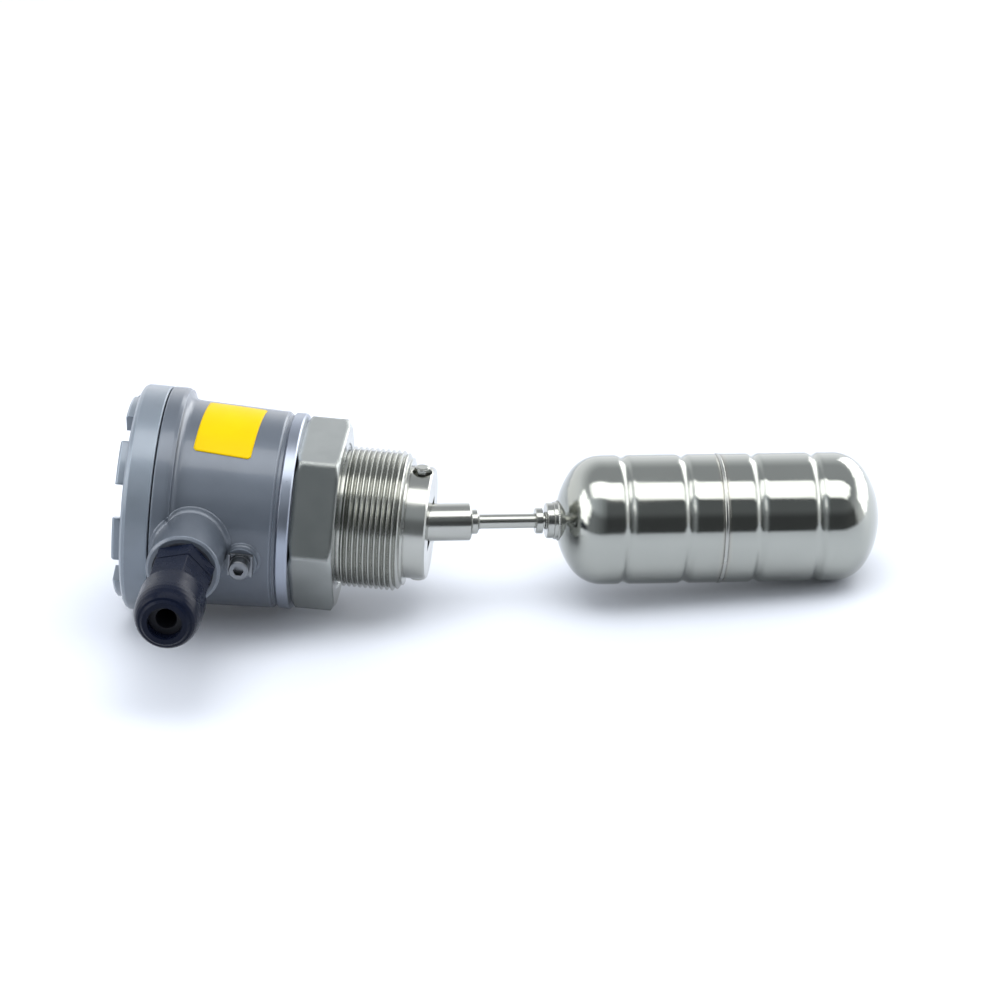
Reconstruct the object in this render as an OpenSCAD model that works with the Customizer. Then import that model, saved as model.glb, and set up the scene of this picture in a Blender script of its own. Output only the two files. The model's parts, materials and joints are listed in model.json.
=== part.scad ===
// Side mounted magnetic float level switch.
// X runs along the body axis towards the float, Z is the axis of the float arm's pivot pin,
// and the cable gland points to -Y. The origin lies on the body axis in the sealing face of
// the hexagon, where the process thread starts.

/* [Process thread] */
// Outside diameter of the parallel pipe thread
thread_d = 59.6; // [58.6:0.1:60.6]
// Length from the sealing face to the end of the thread
thread_len = 28; // [26:0.5:32]
// Pitch, 11 turns to the inch
thread_pitch = 2.309; // [2.1:0.001:2.5]
// Length of the undercut behind the thread
undercut_len = 2.6; // [2:0.1:3.5]

/* [Hexagon] */
// Width across the flats
hex_af = 70.5; // [68:0.5:72]
// Length of the hexagon
hex_len = 18.6; // [15:0.2:20]
// How far the hexagon is turned from the pivot axis, degrees
hex_turn = 3; // [0:0.5:30]

/* [Nose] */
// Diameter of the nose that holds the pivot
nose_d = 47.8; // [47:0.2:50]
// Length of the nose beyond the thread
nose_len = 9.3; // [9.1:0.1:12]
// Diameter of the pivot pin
pin_d = 5; // [4:0.25:5.5]
// Bore of the magnet chamber inside the fitting
chamber_d = 31; // [30:0.5:32]
// Thickness of the pressure wall between the chamber and the switch
wall_t = 3; // [2:0.5:4]

/* [Float arm] */
// Angle of the arm from the body axis as it lies, degrees
arm_rest = 14; // [-14:0.1:14]
// Outside diameter of the pivot sleeve
sleeve_d = 16; // [14.6:0.1:16.2]
// Distance from the pivot to the end of the sleeve
sleeve_reach = 21.4; // [20:0.2:26]
// Diameter of the float rod
rod_d = 6.2; // [5:0.1:7]
// Distance from the pivot to the first point of the float
float_reach = 58; // [56:0.5:80]
// Length of the arm behind the pivot, to the end of the magnet
tail_reach = 35.5; // [34:0.5:36.5]

/* [Float] */
// Diameter of the float, which passes through the threaded hole
float_d = 55; // [50:0.5:56.5]
// Length of the float
float_len = 139; // [130:0.5:170]
// Sheet thickness of the float
float_wall = 0.8; // [0.6:0.1:1.2]
// Knuckle radius of the dished ends
knuckle_r = 16; // [12:0.5:18]
// Crown radius of the dished ends
crown_r = 36; // [32:0.5:45]
// Depth of the four rolled grooves
groove_depth = 1.1; // [0.6:0.1:1.6]

/* [Housing] */
// Diameter of the housing body
body_d = 85; // [84:0.5:87]
// Draft of the cast body, growth of its radius from the hexagon end to the flange
body_draft = 1.4; // [0:0.1:2]
// Diameter of the cover and the flange
cover_d = 96; // [95:0.2:99]
// Distance from the sealing face back to the cover joint
seam_back = 76.4; // [75:0.2:82]
// Depth of the cover without its lugs
cover_depth = 12.6; // [12:0.2:16]
// Number of lugs on the cover
lug_count = 8; // [6:2:10]
// Height of the lugs
lug_h = 3.8; // [3:0.2:6]
// Width of the gaps between the lugs
lug_gap = 14; // [10:0.5:16]
// Wall thickness of the housing
house_wall = 4.9; // [4:0.1:5.5]

/* [Cable entry] */
// Diameter of the cable boss
boss_d = 31.4; // [31:0.2:36]
// Distance from the body axis to the mouth of the boss
boss_reach = 65.8; // [60:0.2:72]
// Outside diameter of the gland's thread
gland_thread_d = 20; // [18:0.5:21]
// Width across the flats of the gland
gland_af = 24.6; // [24.5:0.1:27]
// Length of the dome nut
dome_len = 38.4; // [36:0.2:44]
// Largest cable, the hole of the sealing insert
cable_d = 9; // [7:0.5:11]

/* [Switch] */
// Turn of the switch lever for each degree of the arm
lever_ratio = 0.6; // [0.4:0.05:0.7]
// Distance from the lever's pin to the button
button_arm = 6.5; // [6:0.25:7]
// Diameter of both magnets
magnet_d = 10; // [8:0.5:10.5]

/* [Fits] */
// Radial clearance of the pin in the sleeve
pin_gap = 0.05; // [0.02:0.01:0.08]
// Clearance on each side of the sleeve in its slot
slot_gap = 0.4; // [0.3:0.05:0.6]
// Gap between the button and the lever
button_gap = 0.15; // [0.1:0.01:0.3]
// Radial clearance of the cover's thread
cover_gap = 0.1; // [0.05:0.01:0.2]
// Width of the open joint round the cover
seam_gap = 0.5; // [0.3:0.1:0.8]

/* [Hidden] */
$fn = 96;
thread_r = thread_d / 2;
thread_h = 0.64 * thread_pitch;
crest_w = thread_pitch / 6;
turns = floor((thread_len - undercut_len) / thread_pitch + 0.01);
thread_start = thread_len - turns * thread_pitch;
thread_chamfer = 3.2;
undercut_r = thread_r - thread_h - 0.3;
recess_r = thread_r + 1.2;
nose_r = nose_d / 2;
nose_end = thread_len + nose_len;
pivot_x = nose_end - 4.7;
spot_r = 4.2;
spot_z = nose_r - 3.5;
head_r = 3.2;
head_h = 2.7;
plug_len = 2.6;
sleeve_r = sleeve_d / 2;
slot_z = sleeve_r + slot_gap;
slot_y = sleeve_r + 2;
slot_back = nose_end - 7.8;
chamber_r = chamber_d / 2;
wall_x = -6;
dry_bore_r = 15;
spigot_r = 20;
bracket_z = (dry_bore_r + spigot_r) / 2;
spigot_end = -hex_len - 19;
ring_len = 5.4;
ring_x = -hex_len - ring_len;
body_r = body_d / 2;
cover_r = cover_d / 2;
seam_x = -seam_back;
cavity_r = body_r - house_wall;
end_wall = 7.8;
floor_x = ring_x - end_wall;
flange_fillet = max(0.2, cover_r - body_r - body_draft / 2 - 0.9);
seal_out = cover_r - 3.2;
seal_in = cover_r - 5.8;
mouth_r = seal_in - 1.9;
gasket_r = spigot_r + 6;
gasket_t = 1;
lock_nut_r = spigot_r + 5;
lock_nut_h = 4.8;
inner_earth_y = 13.6 - cavity_r;
inner_earth_z = 15.6 - cavity_r;
inner_earth_h = 6;
cover_skirt = 8;
cover_face = seam_x - seam_gap;
cover_end = cover_face - cover_depth + seam_gap;
lug_r = cover_r - 4.9;
boss_r = boss_d / 2;
boss_x = seam_x + boss_r + 1.7;
gland_r = gland_af / 2 / cos(30);
gland_thread_r = gland_thread_d / 2;
gland_seat = -boss_reach - 1;
gland_hex = 9.2;
nut_start = gland_seat - gland_hex - 0.7;
nut_end = nut_start - dome_len;
neck_r = 10.8;
mouth_hole_r = 7.3;
neck_end = gland_seat - gland_hex - 16;
insert_end = nut_end + 5.2;
earth_x = -37.4;
earth_z = -4.4;
earth_y = -body_r - 2.9;
float_r = float_d / 2;
groove_half = 2.8;
groove_near = 15.2;
groove_far = 41;
weld_half = 0.7;
magnet_r = magnet_d / 2;
magnet_len = 10;
holder_wall = 1;
lever_x = -43;
lever_angle = lever_ratio * arm_rest;
lever_reach = 33;
lever_half = 3;
lever_t = 2;
pin_r = 1.5;
cheek_z = 3.3;
cheek_t = 1.5;
cheek_end = -60;
bracket_w = 16;
bracket_t = 1.6;
wide_w = 24;
web_x = spigot_end - bracket_t;
button_x = lever_x - button_arm;
lever_top = lever_ratio * 15;
button_travel = button_arm * 3.14159265 / 180;
button_tip = lever_half + button_gap - button_travel * lever_angle;
switch_y = lever_half + button_arm * sin(lever_top) + 0.9;
switch_len = 19.8;
switch_h = 10.2;
switch_hole = 7;
switch_hole_r = 1.15;
m3_r = 1.5;
plate_x = -62.5;
plate_t = 1.5;
plate_r = cavity_r - 3.6;
plate_w = 44;
wire_gap = 10;
block_len = 14;
block_w = 34;
block_h = 14;
pole_pitch = 11;
post_z = plate_r - 4;

// A solid turned about the X axis from [radius, x] points
module turned(points) {
    rotate([0, 90, 0])
        rotate_extrude()
            polygon(points);
}

// A cylinder along X between two stations
module along_x(r, x0, x1) {
    translate([x0, 0, 0])
        rotate([0, 90, 0])
            cylinder(r = r, h = x1 - x0);
}

// A cylinder along Y from y0 to y1, with y1 beyond y0
module along_y(r, y0, y1, sides = 96) {
    translate([0, y1, 0])
        rotate([90, 0, 0])
            cylinder(r = r, h = y1 - y0, $fn = sides);
}

// A socket head cap screw: the head stands on z = 0, the shank goes down
module cap_screw(shank_r, shank_len, top_r, top_h, socket_af, socket_depth) {
    difference() {
        union() {
            translate([0, 0, -shank_len])
                cylinder(r = shank_r, h = shank_len + 0.01);
            cylinder(r = top_r, h = top_h - 0.4);
            translate([0, 0, top_h - 0.4])
                cylinder(r1 = top_r, r2 = top_r - 0.4, h = 0.4);
        }
        translate([0, 0, top_h - socket_depth])
            cylinder(d = socket_af / cos(30), h = socket_depth + 1, $fn = 6);
    }
}

// A cheese head screw with a straight slot
module slot_screw(shank_r, shank_len, top_r, top_h) {
    difference() {
        union() {
            translate([0, 0, -shank_len])
                cylinder(r = shank_r, h = shank_len + 0.01);
            cylinder(r = top_r, h = top_h);
        }
        translate([-top_r - 1, -0.4, top_h * 0.45])
            cube([2 * top_r + 2, 0.8, top_h]);
    }
}

// Everything on the float arm stands at its resting angle about the pivot
module on_arm() {
    translate([pivot_x, 0, 0])
        rotate([0, 0, arm_rest])
            children();
}

// Everything on the switch lever stands at its own resting angle
module on_lever() {
    translate([lever_x, 0, 0])
        rotate([0, 0, lever_angle])
            children();
}

// Points of the V thread: a crest flat and a root for each turn, the last crests chamfered
function crest_r(x) = min(thread_r, thread_r - (x - (thread_len - thread_chamfer)) * 0.86);
function thread_points() = [for (i = [0:turns - 1])
    for (k = [0:2])
        let (x = thread_start + i * thread_pitch)
        k == 0 ? [crest_r(x), x]
        : k == 1 ? [crest_r(x + crest_w), x + crest_w]
        : [min(thread_r - thread_h, crest_r(x + thread_pitch) - 0.05),
            x + (thread_pitch + crest_w) / 2]];

// The solid of revolution of the fitting, without hexagon and bores
module fitting_blank() {
    turned(concat(
        [[0, spigot_end], [spigot_r - 0.8, spigot_end], [spigot_r, spigot_end + 0.8],
            [spigot_r, -hex_len], [undercut_r, -hex_len], [undercut_r, thread_start - 0.9]],
        thread_points(),
        [[crest_r(thread_len), thread_len], [nose_r, thread_len],
            [nose_r, nose_end - 0.8], [nose_r - 0.8, nose_end], [0, nose_end]]));
}

// Hexagon with both ends turned to a chamfer
module hexagon() {
    corner_r = hex_af / 2 / cos(30);
    cut = (corner_r - hex_af / 2) * 0.55;
    intersection() {
        translate([-hex_len, 0, 0])
            rotate([hex_turn, 0, 0])
                rotate([0, 90, 0])
                    rotate([0, 0, 30])
                        cylinder(r = corner_r, h = hex_len, $fn = 6);
        turned([[0, -hex_len - 1], [corner_r - cut - 1 / 0.58, -hex_len - 1],
            [corner_r + 0.5, -hex_len + (cut + 0.5) * 0.58],
            [corner_r + 0.5, -(cut + 0.5) * 0.58], [corner_r - cut - 1 / 0.58, 1], [0, 1]]);
    }
}

// The hexagon with a shallow recess round the root of the thread, so that the seal lies on
// the plain face
module recessed_hexagon() {
    difference() {
        hexagon();
        turned([[undercut_r - 2, -0.5], [recess_r, -0.5], [recess_r, 1], [undercut_r - 2, 1]]);
    }
}

module process_fitting() {
    color([0.74, 0.75, 0.74])
    difference() {
        union() {
            fitting_blank();
            recessed_hexagon();
        }
        along_x(chamber_r, wall_x, slot_back);
        along_x(dry_bore_r, spigot_end - 1, wall_x - wall_t);
        translate([slot_back - 1, -slot_y, -slot_z])
            cube([nose_end - slot_back + 2, 2 * slot_y, 2 * slot_z]);
        translate([pivot_x, 0, -nose_r - 1])
            cylinder(d = pin_d, h = 2 * nose_r + 2);
        for (s = [0, 180])
            rotate([s, 0, 0])
                translate([pivot_x, 0, spot_z])
                    cylinder(r = spot_r, h = 6);
        for (s = [-1, 1])
            translate([0, 0, s * bracket_z])
                along_x(m3_r, spigot_end - 1, spigot_end + 8);
    }
}

module housing_shell() {
    turned([[spigot_r, ring_x], [body_r - 1.9, ring_x], [body_r - 1.9, ring_x - 1.5],
        [body_r - body_draft / 2 - 0.6, ring_x - 1.7], [body_r - body_draft / 2, ring_x - 2.4],
        [body_r + body_draft / 2, seam_x + 13],
        for (i = [6:-1:0])
            [body_r + body_draft / 2 + 0.1 + flange_fillet * (1 - sin(15 * i)),
                seam_x + 7.8 + flange_fillet * (1 - cos(15 * i))],
        [cover_r - 0.5, seam_x + 7.1], [cover_r - 0.1, seam_x + 6.2],
        [cover_r, seam_x + 5.2], [cover_r, seam_x + 0.4], [cover_r - 0.4, seam_x],
        [mouth_r, seam_x], [mouth_r, seam_x + 9], [cavity_r, seam_x + 10.5],
        [cavity_r, floor_x + 2], [cavity_r - 2, floor_x], [spigot_r, floor_x]]);
}

module housing_body() {
    color([0.50, 0.53, 0.58])
    difference() {
        union() {
            housing_shell();
            // Cable boss, from the wall of the body to its chamfered mouth
            difference() {
                translate([boss_x, 0, 0])
                    rotate([90, 0, 0])
                        union() {
                            cylinder(r1 = boss_r - 1.8, r2 = boss_r, h = boss_reach - 1);
                            translate([0, 0, boss_reach - 1])
                                cylinder(r1 = boss_r, r2 = boss_r - 1, h = 1);
                        }
                along_x(cavity_r + 0.5, seam_x - 1, floor_x + 1);
                along_x(mouth_r, seam_x - 1, seam_x + 9);
            }
            // Boss of the outer earth terminal
            difference() {
                translate([earth_x, 0, earth_z])
                    along_y(6.8, earth_y, -20);
                along_x(cavity_r + 0.5, seam_x - 1, floor_x + 1);
            }
            // Boss of the inner earth terminal
            translate([0, inner_earth_y, inner_earth_z])
                along_x(4.5, floor_x - inner_earth_h, floor_x + 1);
        }
        translate([boss_x, 0, 0])
            along_y(gland_thread_r, -boss_reach - 1, -cavity_r + 6);
        translate([earth_x, 0, earth_z])
            along_y(2.5, earth_y - 1, earth_y + 6.5);
        translate([0, inner_earth_y, inner_earth_z])
            along_x(2, floor_x - inner_earth_h - 1, floor_x + 1);
        // Groove of the cover seal
        turned([[seal_in - 0.1, seam_x - 1], [seal_out + 0.1, seam_x - 1],
            [seal_out + 0.1, seam_x + 2], [seal_in - 0.1, seam_x + 2]]);
        for (s = [-1, 1])
            translate([0, 0, s * post_z])
                along_x(m3_r, floor_x - 1, floor_x + 5);
    }
}

module housing_cover() {
    color([0.50, 0.53, 0.58])
    union() {
        turned([[mouth_r - cover_gap - 3.4, cover_face + cover_skirt],
            [mouth_r - cover_gap - 0.6, cover_face + cover_skirt],
            [mouth_r - cover_gap, cover_face + cover_skirt - 0.6],
            [mouth_r - cover_gap, cover_face], [cover_r - 0.4, cover_face],
            [cover_r, cover_face - 0.4], [cover_r, cover_end + 2.2],
            [cover_r - 0.6, cover_end + 0.9], [cover_r - 2, cover_end],
            [0, cover_end], [0, cover_end + 3.5],
            [mouth_r - cover_gap - 5.4, cover_end + 3.5],
            [mouth_r - cover_gap - 3.4, cover_end + 5.5]]);
        // Lugs for the strap wrench, left between milled gaps
        difference() {
            turned([[lug_r - 9, cover_end + 0.5], [lug_r - 9, cover_end - lug_h],
                [lug_r - 0.8, cover_end - lug_h], [lug_r, cover_end - lug_h + 0.8],
                [lug_r, cover_end + 0.5]]);
            for (i = [0:lug_count / 2 - 1])
                rotate([(i + 0.5) * 360 / lug_count, 0, 0])
                    translate([cover_end - lug_h - 1, -cover_r, -lug_gap / 2])
                        cube([lug_h + 1, 2 * cover_r, lug_gap]);
        }
    }
}

module cover_seal() {
    color([0.08, 0.08, 0.09])
    turned([[seal_in, cover_face], [seal_out, cover_face],
        [seal_out, seam_x + 2], [seal_in, seam_x + 2]]);
}

module end_ring() {
    color([0.52, 0.55, 0.60])
    turned([[spigot_r, ring_x + gasket_t], [gasket_r, ring_x + gasket_t],
        [gasket_r, ring_x], [body_r - 1.7, ring_x],
        [body_r - 0.9, ring_x + 0.8], [body_r - 0.9, -hex_len - 0.6],
        [body_r - 1.5, -hex_len], [spigot_r, -hex_len]]);
}

module spigot_gasket() {
    color([0.10, 0.10, 0.11])
    turned([[spigot_r, ring_x], [gasket_r, ring_x], [gasket_r, ring_x + gasket_t],
        [spigot_r, ring_x + gasket_t]]);
}

module lock_nut() {
    color([0.72, 0.70, 0.62])
    difference() {
        turned([[spigot_r, floor_x], [lock_nut_r, floor_x],
            [lock_nut_r, floor_x - lock_nut_h + 0.8],
            [lock_nut_r - 0.8, floor_x - lock_nut_h], [spigot_r, floor_x - lock_nut_h]]);
        for (i = [0:5])
            rotate([i * 60 + 30, 0, 0])
                translate([floor_x - lock_nut_h - 0.7, -2, lock_nut_r - 2.2])
                    cube([lock_nut_h + 1.2, 4, 4]);
    }
}

module pivot_pin() {
    color([0.80, 0.80, 0.79])
    translate([pivot_x, 0, -spot_z + plug_len])
        cylinder(d = pin_d, h = 2 * (spot_z - plug_len));
}

module pivot_plug() {
    translate([pivot_x, 0, spot_z])
        cap_screw(pin_d / 2, plug_len, head_r, head_h, 2.5, 1.4);
}

module pivot_screw_top() {
    color([0.80, 0.80, 0.79])
    pivot_plug();
}

module pivot_screw_bottom() {
    color([0.80, 0.80, 0.79])
    rotate([180, 0, 0])
        pivot_plug();
}

module arm_sleeve() {
    color([0.80, 0.80, 0.79])
    on_arm()
        difference() {
            turned([[0, -sleeve_r + 1], [sleeve_r - 2.6, -sleeve_r + 1],
                [sleeve_r, -sleeve_r + 3.6], [sleeve_r, sleeve_reach - 0.5],
                [sleeve_r - 0.5, sleeve_reach], [rod_d / 2, sleeve_reach],
                [rod_d / 2, sleeve_reach - 10], [0, sleeve_reach - 10]]);
            translate([0, 0, -sleeve_r - 1])
                cylinder(r = pin_d / 2 + pin_gap, h = sleeve_d + 2);
        }
}

module arm_tail() {
    color([0.78, 0.78, 0.77])
    on_arm()
        along_x(3.5, -tail_reach + magnet_len + holder_wall, -sleeve_r + 1);
}

module magnet_holder() {
    color([0.78, 0.78, 0.77])
    on_arm()
        turned([[0, -tail_reach + magnet_len + holder_wall],
            [magnet_r + holder_wall - 0.4, -tail_reach + magnet_len + holder_wall],
            [magnet_r + holder_wall, -tail_reach + magnet_len + holder_wall - 0.4],
            [magnet_r + holder_wall, -tail_reach + 1], [magnet_r, -tail_reach + 1],
            [magnet_r, -tail_reach + magnet_len], [0, -tail_reach + magnet_len]]);
}

module arm_magnet() {
    color([0.35, 0.35, 0.37])
    on_arm()
        along_x(magnet_r, -tail_reach, -tail_reach + magnet_len);
}

module arm_collar() {
    color([0.78, 0.78, 0.77])
    on_arm()
        turned([[rod_d / 2, sleeve_reach], [rod_d / 2 + 2.1, sleeve_reach],
            [rod_d / 2 + 2.1, sleeve_reach + 2.8], [rod_d / 2 + 1.7, sleeve_reach + 3.2],
            [rod_d / 2, sleeve_reach + 3.2]]);
}

module arm_rod() {
    color([0.80, 0.80, 0.79])
    on_arm()
        along_x(rod_d / 2, sleeve_reach - 10, float_reach + 10);
}

module rod_collar() {
    color([0.78, 0.78, 0.77])
    on_arm()
        turned([[rod_d / 2, float_reach - 8.8], [rod_d / 2 + 2, float_reach - 8.8],
            [rod_d / 2 + 2.4, float_reach - 8.4], [rod_d / 2 + 2.4, float_reach - 5.8],
            [rod_d / 2, float_reach - 5.8]]);
}

module float_nut() {
    color([0.78, 0.78, 0.77])
    on_arm()
        turned([[rod_d / 2, float_reach - 4.2], [7.2, float_reach - 4.2],
            [7.6, float_reach - 3.8], [7.6, float_reach - 1.2],
            [rod_d / 2, float_reach - 1.2]]);
}

module float_ring() {
    color([0.78, 0.78, 0.77])
    on_arm()
        turned([[rod_d / 2, float_reach - 1.2], [7.8, float_reach - 1.2],
            [8.1, float_reach - 0.9], [8.1, float_reach + 0.9], [6, float_reach + 0.5],
            [rod_d / 2, float_reach + 0.5]]);
}

module float_socket() {
    color([0.78, 0.78, 0.77])
    on_arm()
        turned([[rod_d / 2, float_reach + 0.5], [6, float_reach + 0.5],
            [6, float_reach + 14], [0, float_reach + 14], [0, float_reach + 10],
            [rod_d / 2, float_reach + 10]]);
}

// Dished end: points from the axis to the cylinder, at a distance t inside the surface
function knuckle_a(r, k, c) = asin((r - k) / (c - k));
function dish_depth(r, k, c) = c - (c - k) * cos(knuckle_a(r, k, c));
function dish(r, k, c, t) = let (a = knuckle_a(r, k, c), d = dish_depth(r, k, c))
    concat([for (i = [0:8]) let (b = a * i / 8) [(c - t) * sin(b), c - (c - t) * cos(b)]],
        [for (i = [1:9]) let (b = a + (90 - a) * i / 9)
            [r - k + (k - t) * sin(b), d - (k - t) * cos(b)]]);

// Radius of the float's cylinder at x from its middle, with the rolled grooves
function groove(x, c) = abs(abs(x) - c) >= groove_half ? 0
    : groove_depth * (1 + cos(180 * (abs(x) - c) / groove_half)) / 2;
function float_side(t) = [for (c = [-groove_far, -groove_near])
    for (k = [-4:4])
        let (x = c + k * groove_half / 4)
        [float_r - t - groove(x, -c), x]];

// One half of the float from its tip to the weld, with its open edge at -weld_half
function half_outline(t) = let (h = float_len / 2, e = dish(float_r, knuckle_r, crown_r, t))
    concat([for (p = e) [p[0], p[1] - h]], float_side(t), [[float_r - t, -weld_half]]);

module float_half() {
    outside = half_outline(0);
    inside = half_outline(float_wall);
    turned(concat(outside, [for (i = [len(inside) - 1:-1:0]) inside[i]]));
}

module float_half_near() {
    color([0.83, 0.83, 0.82])
    on_arm()
        translate([float_reach + float_len / 2, 0, 0])
            difference() {
                float_half();
                along_x(6, -float_len / 2 - 1, -float_len / 2 + 5);
            }
}

module float_half_far() {
    color([0.83, 0.83, 0.82])
    on_arm()
        translate([float_reach + float_len / 2, 0, 0])
            rotate([0, 0, 180])
                float_half();
}

module float_weld() {
    color([0.70, 0.69, 0.67])
    on_arm()
        translate([float_reach + float_len / 2, 0, 0])
            turned([[float_r - float_wall - 0.1, -weld_half], [float_r, -weld_half],
                [float_r + 0.2, -weld_half + 0.25], [float_r + 0.2, weld_half - 0.25],
                [float_r, weld_half], [float_r - float_wall - 0.1, weld_half]]);
}

module gland_at() {
    translate([boss_x, 0, 0])
        rotate([90, 0, 0])
            children();
}

module gland_washer() {
    color([0.10, 0.10, 0.11])
    gland_at()
        difference() {
            translate([0, 0, boss_reach])
                cylinder(r = gland_af / 2 + 0.6, h = 1);
            cylinder(r = gland_thread_r, h = boss_reach + 2);
        }
}

module gland_body() {
    color([0.14, 0.15, 0.19])
    gland_at()
        difference() {
            union() {
                translate([0, 0, boss_reach - 12])
                    cylinder(r = gland_thread_r, h = 14);
                intersection() {
                    translate([0, 0, -gland_seat])
                        rotate([0, 0, 15])
                            cylinder(r = gland_r, h = gland_hex, $fn = 6);
                    translate([0, 0, -gland_seat])
                        cylinder(r1 = gland_r + gland_hex - 1, r2 = gland_r - 0.8, h = gland_hex);
                }
                translate([0, 0, -gland_seat])
                    cylinder(r = neck_r, h = -neck_end + gland_seat);
            }
            translate([0, 0, boss_reach - 13])
                cylinder(r = 7.5, h = 60);
        }
}

module gland_insert() {
    color([0.12, 0.12, 0.13])
    gland_at()
        difference() {
            translate([0, 0, -neck_end])
                cylinder(r = 10, h = neck_end - insert_end);
            translate([0, 0, -neck_end - 1])
                cylinder(d = cable_d, h = 20);
        }
}

module gland_slip_ring() {
    color([0.20, 0.21, 0.24])
    gland_at()
        difference() {
            translate([0, 0, -insert_end])
                cylinder(r = 9.4, h = 1.2);
            translate([0, 0, -insert_end - 1])
                cylinder(r = mouth_hole_r, h = 4);
        }
}

module gland_nut() {
    dome_r = gland_r - 0.1;
    seat = -insert_end + 1.2;
    color([0.14, 0.15, 0.19])
    gland_at()
        difference() {
            intersection() {
                rotate_extrude()
                    polygon([[0, -nut_start], [dome_r - 0.7, -nut_start],
                        [dome_r, -nut_start + 0.7], [dome_r, -nut_end - 11],
                        for (i = [0:6])
                            [dome_r - 3.6 * (1 - cos(15 * i)), -nut_end - 11 + 10 * sin(15 * i)],
                        [dome_r - 4.6, -nut_end], [0, -nut_end]]);
                // Flats round the skirt run out into the dome
                union() {
                    translate([0, 0, -nut_start - 1])
                        rotate([0, 0, 15])
                            cylinder(r = gland_r, h = 17.4, $fn = 6);
                    translate([0, 0, -nut_start + 16])
                        cylinder(r = gland_r + 1, h = dome_len);
                }
            }
            translate([0, 0, -nut_start - 1])
                cylinder(r = neck_r + 0.1, h = seat + nut_start + 1);
            cylinder(r = mouth_hole_r, h = -nut_end + 1);
        }
}

module earth_at(y) {
    translate([earth_x, earth_y - y, earth_z])
        rotate([90, 0, 0])
            children();
}

module earth_screw() {
    color([0.72, 0.72, 0.71])
    earth_at(2.2)
        cap_screw(2.5, 8.2, 4.25, 5, 4, 2.8);
}

module earth_spring_washer() {
    color([0.66, 0.66, 0.65])
    earth_at(1)
        difference() {
            cylinder(r = 4.6, h = 1.2);
            translate([0, 0, -1])
                cylinder(r = 2.5, h = 4);
            translate([0, -0.35, -1])
                cube([6, 0.7, 4]);
        }
}

module earth_washer() {
    color([0.72, 0.72, 0.71])
    earth_at(0)
        difference() {
            cylinder(r = 5.5, h = 1);
            translate([0, 0, -1])
                cylinder(r = 2.5, h = 4);
        }
}

module switch_bracket() {
    color([0.70, 0.71, 0.72])
    difference() {
        union() {
            // Web against the end of the spigot, with two cheeks bent back from it
            translate([web_x, -bracket_w / 2, -spigot_r + 0.5])
                cube([bracket_t, bracket_w, 2 * spigot_r - 1]);
            for (s = [0, 1])
                mirror([0, 0, s])
                    translate([cheek_end, -bracket_w / 2, cheek_z])
                        cube([web_x - cheek_end + 0.8, wide_w, cheek_t]);
            // The web widens where the cheeks leave it
            translate([web_x, -bracket_w / 2, -cheek_z - cheek_t])
                cube([bracket_t, wide_w, 2 * (cheek_z + cheek_t)]);
        }
        // Window for the lever
        translate([web_x - 1, 1 - bracket_w / 2, -cheek_z])
            cube([bracket_t + 2.4, bracket_w - 2, 2 * cheek_z]);
        for (s = [-1, 1])
            translate([0, 0, s * bracket_z])
                along_x(m3_r, web_x - 1, web_x + 3);
        translate([lever_x, 0, -2 * cheek_z])
            cylinder(r = pin_r, h = 4 * cheek_z);
        switch_holes();
    }
}

// Holes through the cheeks and the switch for its two screws
module switch_holes() {
    for (x = [button_x - switch_hole, button_x + switch_hole + 0.5])
        translate([x, switch_y + switch_hole, -2 * cheek_z])
            cylinder(r = switch_hole_r, h = 4 * cheek_z);
}

module bracket_screw() {
    translate([web_x, 0, bracket_z])
        rotate([0, -90, 0])
            slot_screw(m3_r, 9, 2.7, 2);
}

module bracket_screw_top() {
    color([0.76, 0.76, 0.75])
    bracket_screw();
}

module bracket_screw_bottom() {
    color([0.76, 0.76, 0.75])
    rotate([180, 0, 0])
        bracket_screw();
}

module lever_pin() {
    color([0.76, 0.76, 0.75])
    union() {
        translate([lever_x, 0, -cheek_z - cheek_t - 1])
            cylinder(r = pin_r, h = 2 * (cheek_z + cheek_t) + 1);
        translate([lever_x, 0, cheek_z + cheek_t])
            cylinder(r = 2.4, h = 1);
    }
}

module switch_lever() {
    color([0.86, 0.84, 0.76])
    on_lever()
        difference() {
            union() {
                translate([-button_arm - 2, -lever_half, -lever_t])
                    cube([lever_reach + button_arm + 2 - magnet_len, 2 * lever_half, 2 * lever_t]);
                cylinder(r = 3.4, h = 2 * lever_t + 2.2, center = true);
                turned([[0, lever_reach - magnet_len - 4], [3, lever_reach - magnet_len - 4],
                    [magnet_r + 1, lever_reach - magnet_len - 1],
                    [magnet_r + 1, lever_reach - 2], [magnet_r, lever_reach - 2],
                    [magnet_r, lever_reach - magnet_len], [0, lever_reach - magnet_len]]);
            }
            translate([0, 0, -5])
                cylinder(r = pin_r + pin_gap, h = 10);
        }
}

module switch_magnet() {
    color([0.35, 0.35, 0.37])
    on_lever()
        along_x(magnet_r, lever_reach - magnet_len, lever_reach);
}

module micro_switch() {
    color([0.13, 0.13, 0.14])
    difference() {
        union() {
            translate([button_x - switch_len / 2 - 0.1, switch_y, -cheek_z])
                cube([switch_len, switch_h, 2 * cheek_z]);
            // Three tags at the back
            for (x = [-switch_hole, 0, switch_hole])
                translate([button_x + x - 1, switch_y + switch_h - 0.2, -0.25])
                    cube([2, 4.2, 0.5]);
        }
        translate([button_x, 0, 0])
            along_y(1.2 + 0.05, switch_y - 1, switch_y + 4);
        switch_holes();
    }
}

module switch_button() {
    color([0.75, 0.20, 0.16])
    translate([button_x, button_tip, 0])
        rotate([-90, 0, 0])
            rotate_extrude()
                polygon([[0, 0], [0.5, 0.06], [0.9, 0.25], [1.2, 0.7],
                    [1.2, switch_y + 1.2 - button_tip], [0, switch_y + 1.2 - button_tip]]);
}

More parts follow.
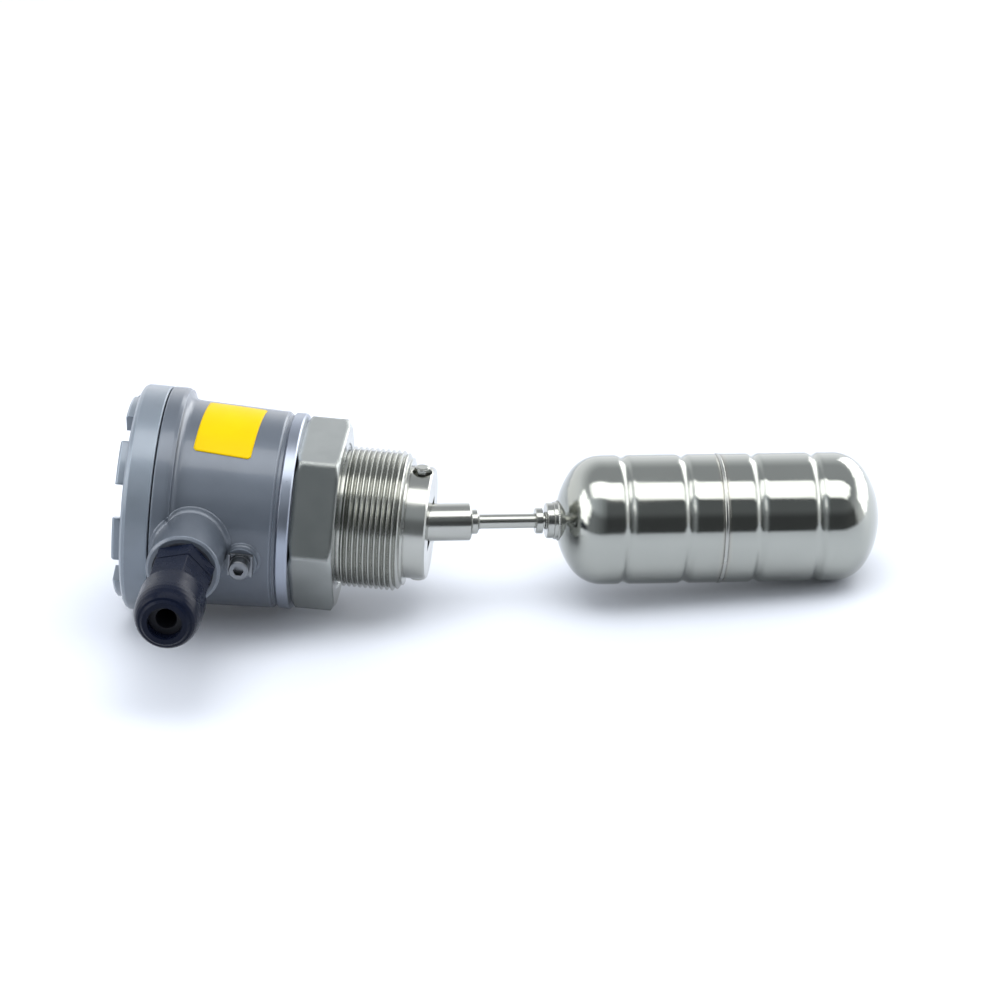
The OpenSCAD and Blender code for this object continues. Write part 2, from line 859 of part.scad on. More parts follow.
module switch_screw(x) {
    translate([x, switch_y + switch_hole, cheek_z + cheek_t])
        slot_screw(switch_hole_r, 2 * (cheek_z + cheek_t) + 1, 2, 1.5);
}

module switch_screw_front() {
    color([0.76, 0.76, 0.75])
    switch_screw(button_x + switch_hole + 0.5);
}

module switch_screw_back() {
    color([0.76, 0.76, 0.75])
    switch_screw(button_x - switch_hole);
}

module terminal_plate() {
    color([0.80, 0.79, 0.72])
    difference() {
        intersection() {
            along_x(plate_r, plate_x - plate_t, plate_x);
            translate([plate_x - 5, -plate_w / 2, -plate_r - 1])
                cube([10, plate_w, 2 * plate_r + 2]);
        }
        for (s = [-1, 1])
            translate([0, 0, s * post_z])
                along_x(m3_r, plate_x - 5, plate_x + 1);
        // Passages for the wires above and below the terminals
        for (s = [-1, 1])
            translate([plate_x - 5, -wire_gap, s * (post_z - 12) - wire_gap / 2])
                cube([10, 2 * wire_gap, wire_gap]);
    }
}

module post() {
    translate([0, 0, post_z])
        difference() {
            translate([plate_x, 0, 0])
                rotate([0, 90, 0])
                    rotate([0, 0, 30])
                        cylinder(r = 3.2, h = floor_x - plate_x, $fn = 6);
            along_x(m3_r, plate_x - 1, plate_x + 7);
        }
    translate([0, 0, post_z])
        along_x(m3_r, floor_x - 0.5, floor_x + 5);
}

module post_top() {
    color([0.78, 0.70, 0.45])
    post();
}

module post_bottom() {
    color([0.78, 0.70, 0.45])
    rotate([180, 0, 0])
        post();
}

module plate_screw() {
    translate([plate_x - plate_t, 0, post_z])
        rotate([0, -90, 0])
            slot_screw(m3_r, 7, 2.7, 2);
}

module plate_screw_top() {
    color([0.76, 0.76, 0.75])
    plate_screw();
}

module plate_screw_bottom() {
    color([0.76, 0.76, 0.75])
    rotate([180, 0, 0])
        plate_screw();
}

module terminal_block() {
    color([0.16, 0.30, 0.24])
    difference() {
        translate([plate_x - plate_t - block_len, -block_w / 2, -block_h / 2])
            cube([block_len, block_w, block_h]);
        for (y = [-pole_pitch, 0, pole_pitch]) {
            // Screw well and wire funnels of each pole
            translate([0, y, 0])
                along_x(3, plate_x - plate_t - block_len - 1, plate_x - plate_t - block_len + 6);
            translate([0, y, 0])
                along_x(1.6, plate_x - plate_t - block_len, plate_x - plate_t - 3);
            for (s = [0, 180])
                rotate([s, 0, 0])
                    translate([plate_x - plate_t - block_len / 2, s == 0 ? y : -y, 3])
                        cylinder(r = 2, h = block_h / 2 - 2);
        }
    }
}

module terminal_screw(y) {
    translate([plate_x - plate_t - block_len + 6, y, 0])
        rotate([0, -90, 0])
            slot_screw(1.6, 5, 2.9, 2.4);
}

module terminal_screw_1() {
    color([0.78, 0.72, 0.50])
    terminal_screw(-pole_pitch);
}

module terminal_screw_2() {
    color([0.78, 0.72, 0.50])
    terminal_screw(0);
}

module terminal_screw_3() {
    color([0.78, 0.72, 0.50])
    terminal_screw(pole_pitch);
}

module inner_earth_screw() {
    color([0.76, 0.76, 0.75])
    translate([floor_x - inner_earth_h, inner_earth_y, inner_earth_z])
        rotate([0, -90, 0])
            slot_screw(2, 6, 4, 2.6);
}

housing_body();
housing_cover();
cover_seal();
end_ring();
spigot_gasket();
process_fitting();
lock_nut();
pivot_pin();
pivot_screw_top();
pivot_screw_bottom();
arm_sleeve();
arm_tail();
magnet_holder();
arm_magnet();
arm_collar();
arm_rod();
rod_collar();
float_nut();
float_ring();
float_socket();
float_half_near();
float_half_far();
float_weld();
gland_washer();
gland_body();
gland_insert();
gland_slip_ring();
gland_nut();
earth_screw();
earth_spring_washer();
earth_washer();
switch_bracket();
bracket_screw_top();
bracket_screw_bottom();
lever_pin();
switch_lever();
switch_magnet();
micro_switch();
switch_button();
switch_screw_front();
switch_screw_back();
terminal_plate();
post_top();
post_bottom();
plate_screw_top();
plate_screw_bottom();
terminal_block();
terminal_screw_1();
terminal_screw_2();
terminal_screw_3();
inner_earth_screw();
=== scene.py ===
import json
import math

import bpy
import numpy as np
from mathutils import Matrix, Vector


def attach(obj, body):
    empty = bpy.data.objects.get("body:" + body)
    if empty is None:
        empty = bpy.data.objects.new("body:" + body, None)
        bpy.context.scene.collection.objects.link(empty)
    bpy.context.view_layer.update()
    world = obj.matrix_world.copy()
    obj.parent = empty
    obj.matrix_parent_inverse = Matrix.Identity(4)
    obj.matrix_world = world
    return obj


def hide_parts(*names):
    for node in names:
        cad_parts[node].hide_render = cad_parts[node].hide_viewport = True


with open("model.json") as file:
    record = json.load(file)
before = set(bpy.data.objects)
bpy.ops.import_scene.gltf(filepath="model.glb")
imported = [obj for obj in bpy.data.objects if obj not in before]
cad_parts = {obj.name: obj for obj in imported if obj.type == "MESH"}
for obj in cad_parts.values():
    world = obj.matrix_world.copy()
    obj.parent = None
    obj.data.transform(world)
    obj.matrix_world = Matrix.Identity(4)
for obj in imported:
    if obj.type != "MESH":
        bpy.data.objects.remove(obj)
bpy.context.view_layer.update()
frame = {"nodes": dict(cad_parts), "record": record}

# Housing: a round aluminium casting with a flange for the cover and bosses for the gland and
# the outer earth, in dark metallic paint with a painted highlight along its edges. Cast
# fillets run round both bosses, and their closed backs lie a little way inside the casting.
MM = 0.001
SEAM_X, RING_X = -76.4, -24.0
BODY_R, BODY_R_END, FLANGE_R = 43.2, 41.8, 48.0
DRAFT_FROM, DRAFT_TO = SEAM_X + 13, RING_X - 2.4
HOLLOW_END, HOLLOW_R = SEAM_X + 11.7, 3.9
CABLE_X, CABLE_R, CABLE_REACH = -59, 14.9, 62
EARTH_X, EARTH_Z, EARTH_R, EARTH_REACH = -37.4, -4.4, 6.75, 45.2


class Tree:
    """A node tree with short calls for the nodes that finishes and surroundings use."""

    def __init__(self, tree, coordinates):
        self.nodes, self.links = tree.nodes, tree.links
        self.place = self.nodes.new("ShaderNodeTexCoord").outputs[coordinates]

    def feed(self, socket, value):
        """Link another node's output to a socket, or set it to a number or a colour."""
        if isinstance(value, bpy.types.NodeSocket):
            self.links.new(value, socket)
        elif isinstance(value, tuple) and socket.type == "RGBA":
            socket.default_value = (*value, 1)
        else:
            socket.default_value = value

    def axes(self):
        node = self.nodes.new("ShaderNodeSeparateXYZ")
        self.links.new(self.place, node.inputs["Vector"])
        return node.outputs

    def calc(self, operation, *values):
        node = self.nodes.new("ShaderNodeMath")
        node.operation = operation
        for socket, value in zip(node.inputs, values):
            self.feed(socket, value)
        return node.outputs[0]

    def dot(self, first, second):
        node = self.nodes.new("ShaderNodeVectorMath")
        node.operation = "DOT_PRODUCT"
        self.feed(node.inputs[0], first)
        self.feed(node.inputs[1], second)
        return node.outputs["Value"]

    def span(self, value, low, high):
        """Where a value stands between low and high, from 0 to 1."""
        node = self.nodes.new("ShaderNodeMapRange")
        node.inputs["From Min"].default_value = low
        node.inputs["From Max"].default_value = high
        self.links.new(value, node.inputs["Value"])
        return node.outputs["Result"]

    def ramp(self, factor, *stops):
        """Greys or colours between stops of (position, value)."""
        node = self.nodes.new("ShaderNodeValToRGB")
        elements = node.color_ramp.elements
        while len(elements) < len(stops):
            elements.new(0.5)
        for element, (position, value) in zip(elements, stops):
            element.position = position
            element.color = (*value, 1) if isinstance(value, tuple) else (value,) * 3 + (1,)
        self.links.new(factor, node.inputs["Fac"])
        return node.outputs["Color"]

    def mix(self, factor, first, second, blend="MIX"):
        node = self.nodes.new("ShaderNodeMix")
        node.data_type = "RGBA"
        node.blend_type = blend
        self.feed(node.inputs["Factor"], factor)
        self.feed(node.inputs[6], first)
        self.feed(node.inputs[7], second)
        return node.outputs[2]

    def noise(self, scale, detail=4.0, rough=0.55, stretch=None):
        """Soft uneven patches, drawn out along an axis if stretch is given."""
        source = self.place
        if stretch is not None:
            mapping = self.nodes.new("ShaderNodeMapping")
            mapping.inputs["Scale"].default_value = stretch
            self.links.new(self.place, mapping.inputs["Vector"])
            source = mapping.outputs["Vector"]
        node = self.nodes.new("ShaderNodeTexNoise")
        node.inputs["Scale"].default_value = scale
        node.inputs["Detail"].default_value = detail
        node.inputs["Roughness"].default_value = rough
        self.links.new(source, node.inputs["Vector"])
        return node.outputs["Fac"]

    def rounded(self, radius):
        """Normals as if edges were rounded by a radius in millimetres."""
        node = self.nodes.new("ShaderNodeBevel")
        node.samples = 4
        node.inputs["Radius"].default_value = radius * MM
        return node.outputs["Normal"]

    def bump(self, height, strength, distance, normal=None):
        """Normals of a relief that is up to distance millimetres high."""
        node = self.nodes.new("ShaderNodeBump")
        node.inputs["Strength"].default_value = strength
        node.inputs["Distance"].default_value = distance * MM
        self.links.new(height, node.inputs["Height"])
        if normal is not None:
            self.links.new(normal, node.inputs["Normal"])
        return node.outputs["Normal"]


class Finish(Tree):
    """A new material with its Principled shader, on object coordinates."""

    def __init__(self, name, metallic=None):
        self.material = bpy.data.materials.new(name)
        self.material.use_nodes = True
        super().__init__(self.material.node_tree, "Object")
        self.shader = self.nodes["Principled BSDF"]
        if metallic is not None:
            self.put("Metallic", metallic)

    def put(self, name, value):
        self.feed(self.shader.inputs[name], value)


def scaled(colour, factor):
    """A colour times a factor, at most 1."""
    return tuple(min(1, c * factor) for c in colour)


def painted_casting(name, base):
    """Metallic paint with orange peel over a cast skin, faint mottling and edges made paler as
    a painted highlight.
    """
    f = Finish(name, metallic=0.45)
    mottled = f.ramp(f.noise(55, 6), (0.3, scaled(base, 0.91)), (0.5, base),
                     (0.75, scaled(base, 1.06)))
    # an edge is where the rounded normal leans away from the flat one; there the base colour
    # is made paler as a painted highlight
    flat = f.nodes.new("ShaderNodeNewGeometry").outputs["Normal"]
    edge_highlight = f.ramp(f.dot(f.rounded(0.6), flat), (0.90, 1.0), (0.985, 0.0))
    f.put("Base Color", f.mix(edge_highlight, mottled, scaled(base, 2.2)))
    f.put("Roughness", f.ramp(f.noise(120), (0.3, 0.36), (0.7, 0.46)))
    peel = f.bump(f.noise(900, 3), 0.16, 0.08, f.rounded(0.9))
    cast = f.bump(f.noise(130, 2), 0.12, 0.25, peel)
    f.put("Normal", cast)
    f.put("Coat Normal", cast)
    f.put("Coat Weight", 0.65)
    f.put("Coat Roughness", 0.14)
    return f.material


def in_slot(slot):
    """Names of the CAD nodes that share a slot of the record."""
    return [part["node"] for part in frame["record"]["subparts"]
            if part["material_slot"] == slot]


def dress(material, names):
    """Gives CAD nodes a material."""
    for name in names:
        mesh = frame["nodes"][name].data
        mesh.materials.clear()
        mesh.materials.append(material)


def mesh_piece(name, points, faces, body, material, smooth=True):
    """A mesh over an array of points in millimetres, riding on a body."""
    mesh = bpy.data.meshes.new(name)
    mesh.from_pydata((np.reshape(points, (-1, 3)) * MM).tolist(), [], faces)
    mesh.validate()
    piece = bpy.data.objects.new(name, mesh)
    bpy.context.scene.collection.objects.link(piece)
    mesh.materials.append(material)
    mesh.polygons.foreach_set("use_smooth", [smooth] * len(mesh.polygons))
    mesh.update()
    if body:
        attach(piece, body)
    return piece


def numbers(rows, columns):
    """Point numbers of a grid, row by row."""
    return np.arange(rows * columns).reshape(rows, columns)


def closed(grid, rows=True, columns=True):
    """A grid of point numbers with its first row and column once more at the end."""
    return np.pad(grid, ((0, int(rows)), (0, int(columns))), mode="wrap")


def quads(grid):
    """A face between each four neighbours of a grid of point numbers."""
    return np.stack((grid[:-1, :-1], grid[:-1, 1:], grid[1:, 1:], grid[1:, :-1]),
                    axis=-1).reshape(-1, 4).tolist()


def circle(count):
    """Angles once round."""
    return 2 * np.pi * np.arange(count) / count


def casting_radius(x):
    """Radius of the casting's outside at x: a cone, then a hollow quarter round, then the
    flange."""
    drafted = BODY_R + (BODY_R_END - BODY_R) * (x - DRAFT_FROM) / (DRAFT_TO - DRAFT_FROM)
    into = HOLLOW_END - x
    hollow = BODY_R + 4 - np.sqrt(np.maximum(0, HOLLOW_R ** 2 - into ** 2))
    return np.select([x >= DRAFT_FROM, into <= 0, into < HOLLOW_R],
                     [drafted, BODY_R + 0.1, hollow], FLANGE_R)


def boss_fillet(name, boss_x, boss_z, boss_r, size, reach):
    """A cast fillet round a boss that stands along -Y. At each angle, a curve runs from the
    boss down to the casting, drawn towards their corner, as (1-t)^2 high + 2t(1-t) corner +
    t^2 foot. Three points under the surface close the section."""
    sunk = 0.6
    c, s = np.cos(circle(120)), np.sin(circle(120))

    def at(r):
        x, z = boss_x + r * c, boss_z + r * s
        return x, np.sqrt(casting_radius(x) ** 2 - z ** 2), z

    def points(x, depth, z):
        return np.stack((x, -depth, z), axis=-1)[:, None]
    x, y, z = at(boss_r)
    foot_x, foot_y, foot_z = at(boss_r + size)
    back_x, back_z = boss_x + (boss_r - sunk) * c, boss_z + (boss_r - sunk) * s
    top = np.minimum(y + size, reach)
    t = np.linspace(0, 1, 9)[:, None]
    curve = (1 - t) ** 2 * points(x, top, z) + 2 * t * (1 - t) * points(x, y, z) \
        + t ** 2 * points(foot_x, foot_y, foot_z)
    rings = np.concatenate((curve,
                            points(foot_x - sunk / 2 * c, foot_y - sunk,
                                   foot_z - sunk / 2 * s),
                            points(back_x, y - sunk, back_z),
                            points(back_x, top, back_z)), axis=1)
    mesh_piece(name, rings, quads(closed(numbers(*rings.shape[:2]))), "housing", paint)


paint = painted_casting("housing_paint", (0.082, 0.097, 0.12))
dress(paint, in_slot("housing_paint"))
boss_fillet("cable_boss_fillet", CABLE_X, 0, CABLE_R, 2.4, CABLE_REACH)
boss_fillet("earth_boss_fillet", EARTH_X, EARTH_Z, EARTH_R, 1.3, EARTH_REACH)


# Label: a plain yellow film stuck on top of the housing, a little askew. Its corners are
# round, and its lower edge lifts slightly.
def make_label():
    """A grid of film u across and v up. Both lie along the casting: x goes with across, and
    the angle round it with the way up over the radius. The pull rounds the corners, the
    lift is 0.22 + 0.05 v sin(7u + 4v) mm, and a second skin under the first closes it."""
    f = Finish("label_film")
    f.put("Base Color", f.ramp(f.noise(90, 5), (0.3, (0.49, 0.335, 0.001)),
                               (0.7, (0.52, 0.355, 0.001))))
    f.put("Roughness", f.ramp(f.noise(60), (0.3, 0.28), (0.7, 0.42)))
    f.put("Normal", f.bump(f.noise(60, 3), 0.2, 0.12))
    f.put("Specular IOR Level", 0.06)

    wide, tall, corner = 24.6, 37.6, 1.2
    mid_x, mid_angle, askew = -48.6, math.radians(80.0), math.radians(3.5)
    u, v = np.meshgrid(np.arange(25) / 24, np.arange(41) / 40, indexing="ij")
    from_side, from_end = np.minimum(u, 1 - u) * wide, np.minimum(v, 1 - v) * tall
    round_off = corner - np.sqrt(np.maximum(0, corner ** 2 - (corner - from_side) ** 2))
    pull = np.where((from_side < corner) & (from_end < corner), round_off, 0)
    across, way_up = (u - 0.5) * wide, (v - 0.5) * tall + np.where(v < 0.5, pull, -pull)
    x = mid_x + across * math.cos(askew) + way_up * math.sin(askew)
    angle = mid_angle + (way_up * math.cos(askew) - across * math.sin(askew)) / BODY_R
    lift = 0.22 + 0.05 * np.sin(7 * u + 4 * v) * v + np.where(v < 0.06, 0.06, 0)
    skins = []
    for height in (lift, -0.05):
        r = casting_radius(x) + height
        skins.append(np.stack((x, -r * np.cos(angle), r * np.sin(angle)), axis=-1))

    top = numbers(*u.shape)
    under = top + top.size
    rim = np.concatenate((top[0], top[1:, -1], top[-1, -2::-1], top[-2:0:-1, 0]))
    sides = np.stack((rim, rim + top.size))
    faces = quads(top[:, ::-1]) + quads(under) + quads(closed(sides, rows=False))
    mesh_piece("plain_label", skins, faces, "housing", f.material)


make_label()


# Inside of the housing: a switch lever with its magnet, a snap switch on a steel bracket, and
# a terminal plate with its block. They are moulded plastic, laminate, brass and stainless
# steel, and the screws and posts are steel too.
def bare_metal(name, tint, rough_low, rough_high, lines=None):
    """Metal with a faint haze, and with machining lines along one direction if asked."""
    f = Finish(name, metallic=1.0)
    f.put("Base Color", f.ramp(f.noise(40, 5), (0.25, scaled(tint, 0.92)), (0.75, tint)))
    f.put("Roughness", f.ramp(f.noise(90, 5), (0.25, rough_low), (0.75, rough_high)))
    normal = f.rounded(0.3)
    if lines is not None:
        normal = f.bump(f.noise(1.0, 3, 0.6, lines), 0.35, 0.02, normal)
    f.put("Normal", normal)
    return f.material


def moulded(name, base, rough, shine=0.5):
    """Moulded plastic or rubber with a fine grain."""
    f = Finish(name)
    f.put("Base Color", f.ramp(f.noise(60), (0.3, scaled(base, 0.8)), (0.7, base)))
    f.put("Roughness", f.ramp(f.noise(150), (0.3, rough - 0.05), (0.7, rough + 0.06)))
    f.put("Normal", f.bump(f.noise(700, 3), 0.3, 0.05, f.rounded(0.3)))
    f.put("Specular IOR Level", shine)
    return f.material


STAINLESS = (0.42, 0.425, 0.395)
for slot, material in (
        ("stainless", bare_metal("stainless", STAINLESS, 0.16, 0.24, (1400, 25, 25))),
        ("magnet", bare_metal("magnet", (0.16, 0.16, 0.17), 0.4, 0.5)),
        ("brass", bare_metal("brass", (0.62, 0.46, 0.20), 0.25, 0.35)),
        ("lever_plastic", moulded("lever_plastic", (0.62, 0.58, 0.46), 0.42)),
        ("switch_case", moulded("switch_case", (0.02, 0.02, 0.022), 0.4)),
        ("button_plastic", moulded("button_plastic", (0.5, 0.03, 0.02), 0.3)),
        ("plate_laminate", moulded("plate_laminate", (0.50, 0.45, 0.32), 0.5)),
        ("block_plastic", moulded("block_plastic", (0.03, 0.10, 0.07), 0.42))):
    dress(material, in_slot(slot))

# Cover: a casting with eight lugs that screws on the housing, in the housing's paint made
# paler as painted light, for the brighter light on the cover. The seal in its joint is black
# rubber, as are the gasket of the end ring and the gland's two rubbers.
dress(painted_casting("cover_paint", (0.145, 0.172, 0.203)), ["housing_cover"])
dress(moulded("black_rubber", (0.008, 0.009, 0.013), 0.6, 0.3), in_slot("black_rubber"))

# Cable gland: a hexagonal body, a slip ring and a dome nut in black nylon, screwed into the
# cable boss on a rubber washer.
dress(moulded("black_nylon", (0.0035, 0.0055, 0.014), 0.27, 0.09), in_slot("black_nylon"))

# Outer earth terminal: a socket screw with its washers on the small boss, in dull steel. The
# saddle under it is a plate with a lip bent up at each side, which keeps the wire in place.
dull_steel = bare_metal("dull_steel", (0.20, 0.21, 0.225), 0.28, 0.40)
dress(dull_steel, ["earth_screw", "earth_washer", "earth_spring_washer"])


def make_saddle():
    """The plate's section with both lips, carried along Z from one end to the other."""
    half, deep, lip, thick, y = 5.2, 4.8, 2.3, 1.0, -45.4
    section = np.array([(-half, y), (-half, y - lip), (-half + thick, y - lip),
                        (-half + thick, y - thick), (half - thick, y - thick),
                        (half - thick, y - lip), (half, y - lip), (half, y)])
    section += (EARTH_X, 0)
    ends = [np.insert(section, 2, EARTH_Z + side * deep, axis=1) for side in (-1, 1)]
    grid = numbers(2, len(section))
    faces = quads(closed(grid, rows=False))
    for cap in ((0, 3, 2, 1), (0, 7, 4, 3), (7, 6, 5, 4)):
        faces += [grid[0][list(cap)].tolist(), grid[1][list(cap)][::-1].tolist()]
    saddle = mesh_piece("earth_saddle", ends, faces, "housing", dull_steel, smooth=False)
    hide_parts("earth_washer")


make_saddle()

# End ring: a disc of turned light alloy between the housing and the hexagon, left bare, with
# fine turning lines round it.
dress(bare_metal("ring_alloy", (0.33, 0.36, 0.42), 0.26, 0.36, (900, 30, 30)),
      in_slot("ring_alloy"))


# Process fitting: one piece of stainless bar. Its hexagon is milled and a little duller, and
# the thread and nose beyond the seal face at x = 0 are turned.
def fitting_steel():
    """Turned steel, and milled steel with rounder edges where x is below zero."""
    f = Finish("fitting_steel", metallic=1.0)
    milled = f.calc("LESS_THAN", f.axes()["X"], 0.0)
    turned_colour = f.ramp(f.noise(40, 5), (0.25, scaled(STAINLESS, 0.92)), (0.75, STAINLESS))
    milled_colour = f.ramp(f.noise(28), (0.3, (0.34, 0.355, 0.34)),
                           (0.7, (0.42, 0.435, 0.415)))
    f.put("Base Color", f.mix(milled, turned_colour, milled_colour))
    turned_rough = f.ramp(f.noise(90, 5), (0.25, 0.15), (0.75, 0.23))
    milled_rough = f.ramp(f.noise(60, 5), (0.25, 0.15), (0.75, 0.22))
    f.put("Roughness", f.mix(milled, turned_rough, milled_rough))
    edges = f.mix(milled, f.rounded(0.3), f.rounded(2.6))
    f.put("Normal", f.bump(f.noise(1.0, 3, 0.6, (1400, 25, 25)), 0.2, 0.01, edges))
    return f.material


dress(fitting_steel(), ["process_fitting"])


# Pivot screws: a shank, a washer and a hexagon head with rounded corners, of the same steel
# as the float rod. They stand in the nose's pockets above and below the pivot.
PIVOT_X = 32.6
small_steel = bare_metal("small_steel", (0.44, 0.445, 0.41), 0.18, 0.28, (900, 60, 60))


def pivot_head(name, node, side):
    """A profile of (radius, height, hexed) turned about the pivot's axis. Where hexed is 1,
    the radius is times cos(30) / cos(angle from the middle of the flat), which makes a
    hexagon. A fan of faces closes each end at a pole. The lower head is the upper one turned
    half round about X."""
    profile = np.array([(2.5, 17.8, 0), (2.5, 20.45, 0), (3.9, 20.45, 0), (3.9, 21.6, 0),
                        (3.0, 21.7, 0), (3.4, 21.9, 1), (3.4, 25.5, 1), (3.05, 26.0, 0),
                        (2.2, 26.3, 0)])
    a = circle(48)
    r, height, hexed = profile.T[:, :, None]
    flat = math.cos(math.pi / 6) / np.cos(a % (math.pi / 3) - math.pi / 6)
    r = r * np.where(hexed == 1, flat, 1)
    skin = np.stack((r * np.cos(a), r * np.sin(a), height + 0 * a), axis=-1).reshape(-1, 3)
    points = np.concatenate(([(0, 0, profile[0, 1])], skin, [(0, 0, profile[-1, 1])]))
    grid = closed(numbers(len(profile), len(a)), rows=False) + 1
    low, high, last = grid[0].tolist(), grid[-1].tolist(), len(points) - 1
    faces = quads(grid) + [(0, q, p) for p, q in zip(low, low[1:])] \
        + [(p, q, last) for p, q in zip(high, high[1:])]
    points = points * (1, side, side) + (PIVOT_X, 0, 0)
    head = mesh_piece(name, points, faces, "housing", small_steel, smooth=False)
    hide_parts(node)


pivot_head("pivot_head_top", "pivot_screw_top", 1)
pivot_head("pivot_head_bottom", "pivot_screw_bottom", -1)


# Arm: a sleeve on the pivot, a rod with its collars, a nut and a ring at the float, all
# stainless steel. A rippled weld bead lies in each inner corner between them.
ARM = math.radians(14)
dress(small_steel, ["arm_rod", "arm_collar"])
weld_steel = bare_metal("weld_steel", (0.42, 0.425, 0.40), 0.20, 0.32)


def on_arm(s, r, angle):
    """Points at distance s from the pivot along the arm and radius r round it: the arm's own
    frame is turned by ARM about Z."""
    y, z = r * np.sin(angle), r * np.cos(angle)
    return np.stack((PIVOT_X + s * math.cos(ARM) - y * math.sin(ARM),
                     s * math.sin(ARM) + y * math.cos(ARM), z), axis=-1)


def weld_bead(name, s, r, half, ripples):
    """An oval carried round the arm, of size half (1 + 0.12 cos(ripples t) +
    0.05 sin(3t + 1)) at angle t round the arm."""
    t, a = circle(ripples * 6)[:, None], circle(10)
    size = half * (1 + 0.12 * np.cos(ripples * t) + 0.05 * np.sin(3 * t + 1))
    rings = on_arm(s + size * np.cos(a), r + 0.8 * size * np.sin(a), t + 0 * a)
    grid = closed(numbers(*rings.shape[:2]))
    mesh_piece(name, rings, quads(grid[:, ::-1]), "float_arm", weld_steel)


weld_bead("weld_sleeve", 21.5, 5.15, 0.55, 40)
weld_bead("weld_collar", 24.7, 3.2, 0.6, 26)
weld_bead("weld_nut", 53.9, 3.3, 0.6, 26)
weld_bead("weld_ring", 59.0, 8.0, 0.7, 56)


# Float: two halves drawn from thin sheet and polished, welded together round the middle. The
# sheet shows faint rolling marks, soft smudges, and straw colour where the weld heated it.
FLOAT_FROM, FLOAT_LEN = 58, 139


def float_sheet(name, tint):
    """Polished sheet that turns straw within 1.2 to 3.6 mm of the weld, at a distance that
    the noise makes wander."""
    f = Finish(name, metallic=1.0)
    weld = (PIVOT_X * math.cos(ARM) + FLOAT_FROM + FLOAT_LEN / 2) * MM
    along = f.dot(f.place, (math.cos(ARM), math.sin(ARM), 0))
    from_weld = f.calc("ABSOLUTE", f.calc("SUBTRACT", along, weld))
    heat = f.span(f.calc("MULTIPLY_ADD", f.noise(160, 3), 1.6 * MM, from_weld),
                  1.2 * MM, 3.6 * MM)
    plain = f.ramp(f.noise(40, 5), (0.25, scaled(tint, 0.95)), (0.75, tint))
    straw = f.ramp(heat, (0.0, (0.33, 0.325, 0.295)), (0.45, (0.355, 0.355, 0.32)),
                   (1.0, tint))
    f.put("Base Color", f.mix(f.ramp(heat, (0.9, 1.0), (1.0, 0.0)), plain, straw))
    f.put("Roughness", f.ramp(f.noise(26, 6, 0.62), (0.42, 0.065), (0.62, 0.13)))
    wavy = f.bump(f.noise(22, 2), 0.12, 0.6, f.rounded(1.8))
    f.put("Normal", f.bump(f.noise(1.0, 3, 0.6, (700, 15, 15)), 0.35, 0.004, wavy))
    return f.material


dress(float_sheet("float_steel", (0.365, 0.375, 0.345)), ["float_half_near", "float_half_far"])
dress(weld_steel, ["float_weld"])


# Table: a pale matt board. It is tilted in the row frame, because the part rests on its
# cover's flange and on the float.
def make_floor():
    """One flat face at the level below the part's axis, turned about Y by the tilt."""
    f = Finish("table")
    f.put("Base Color", f.ramp(f.noise(3, 3), (0.3, (0.515, 0.54, 0.59)),
                               (0.7, (0.535, 0.56, 0.61))))
    f.put("Roughness", 0.5)
    f.put("Specular IOR Level", 0.35)
    tilt, level = math.radians(4.2), -42.8
    corners = [(x * math.cos(tilt) - level * math.sin(tilt), y,
                x * math.sin(tilt) + level * math.cos(tilt))
               for x, y in ((-2500, -2500), (2500, -2500), (2500, 4500), (-2500, 4500))]
    mesh_piece("table", corners, [(0, 1, 2, 3)], None, f.material, smooth=False)


make_floor()

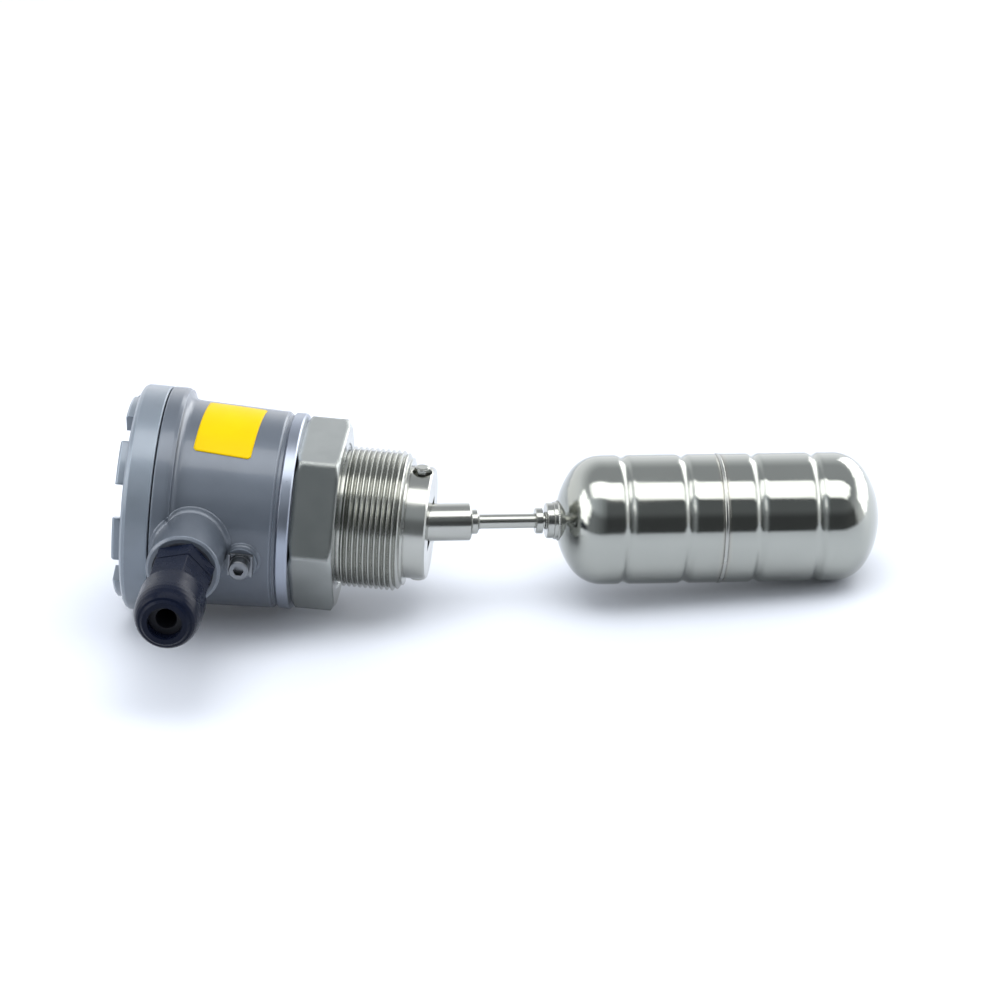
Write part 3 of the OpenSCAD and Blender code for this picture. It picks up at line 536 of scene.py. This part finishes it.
# Lights, in metres and watts: a softbox above, a window at the left and one behind at the
# right, and three wide fills that reflections don't show.
for name, place, target, size, energy, reflected in (
        ("softbox_top", (0.1, -0.19, 1.1), (0.1, -0.12, 0.0), (1.7, 0.66), 10, True),
        ("fill_top", (0.1, -0.2, 2.6), (0.1, 0.0, 0.0), (3.0, 2.6), 55, False),
        ("fill_back", (0.1, 1.5, 1.9), (0.1, 0.7, 0.0), (3.2, 1.8), 6, False),
        ("fill_front", (0.1, -2.0, 1.5), (0.1, 0.0, 0.0), (3.2, 1.6), 20, False),
        ("window_left", (-1.25, -0.45, 0.55), (0.1, 0.0, 0.0), (1.2, 0.9), 9, True),
        ("window_right", (1.18, 1.0, 0.58), (0.2, 0.0, 0.0), (2.3, 1.0), 20, True)):
    light = bpy.data.lights.new(name, "AREA")
    light.shape = "RECTANGLE"
    light.size, light.size_y = size
    light.energy = energy
    lamp = bpy.data.objects.new(name, light)
    bpy.context.scene.collection.objects.link(lamp)
    lamp.location = place
    lamp.rotation_euler = (Vector(target) - Vector(place)).to_track_quat("-Z", "Y").to_euler()
    lamp.visible_glossy = reflected

# Surroundings: dark in front at the right, paler at the left and higher up, and pale behind
# the part near the horizon.
world = bpy.data.worlds.new("studio")
bpy.context.scene.world = world
world.use_nodes = True
sky = Tree(world.node_tree, "Generated")
east, north, height = sky.axes()
sideways = sky.ramp(sky.span(east, -1.0, 1.0),
                    (0.20, (0.62, 0.66, 0.72)), (0.44, (0.36, 0.39, 0.42)),
                    (0.62, (0.12, 0.13, 0.14)), (0.90, (0.20, 0.21, 0.22)))
upwards = sky.ramp(height, (0.0, 0.40), (0.43, 0.40), (0.60, 1.0))
in_front = sky.mix(1.0, sideways, upwards, "MULTIPLY")
behind = sky.ramp(height, (0.0, (0.95, 0.97, 1.0)), (0.35, (0.90, 0.93, 0.98)),
                  (0.75, (0.40, 0.42, 0.45)))
share = sky.ramp(sky.span(north, -0.75, 0.25), (0.34, 0.0), (0.48, 0.58), (1.0, 1.0))
background = sky.nodes["Background"]
sky.feed(background.inputs["Color"], sky.mix(share, in_front, behind))
background.inputs["Strength"].default_value = 1.5

# Camera: a long lens at the photograph's viewing angle, with its turns in radians and its
# place in metres.
yaw, pitch, roll = 0.0891, 0.4562, 0.0536
forward = Vector((-math.sin(yaw) * math.cos(pitch), math.cos(yaw) * math.cos(pitch),
                  -math.sin(pitch)))
level = Vector((math.cos(yaw), math.sin(yaw), 0))
plumb = level.cross(forward)
right = math.cos(roll) * level + math.sin(roll) * plumb
up = -math.sin(roll) * level + math.cos(roll) * plumb
lens = bpy.data.cameras.new("camera")
lens.sensor_width = 36.0
lens.lens = 262.35
lens.clip_end = 20
camera = bpy.data.objects.new("camera", lens)
bpy.context.scene.collection.objects.link(camera)
camera.matrix_world = (Matrix.Translation((0.31199, -2.75224, 1.37007))
                       @ Matrix((right, up, -forward)).transposed().to_4x4())
bpy.context.scene.camera = camera

bpy.context.scene.view_settings.view_transform = "Standard"
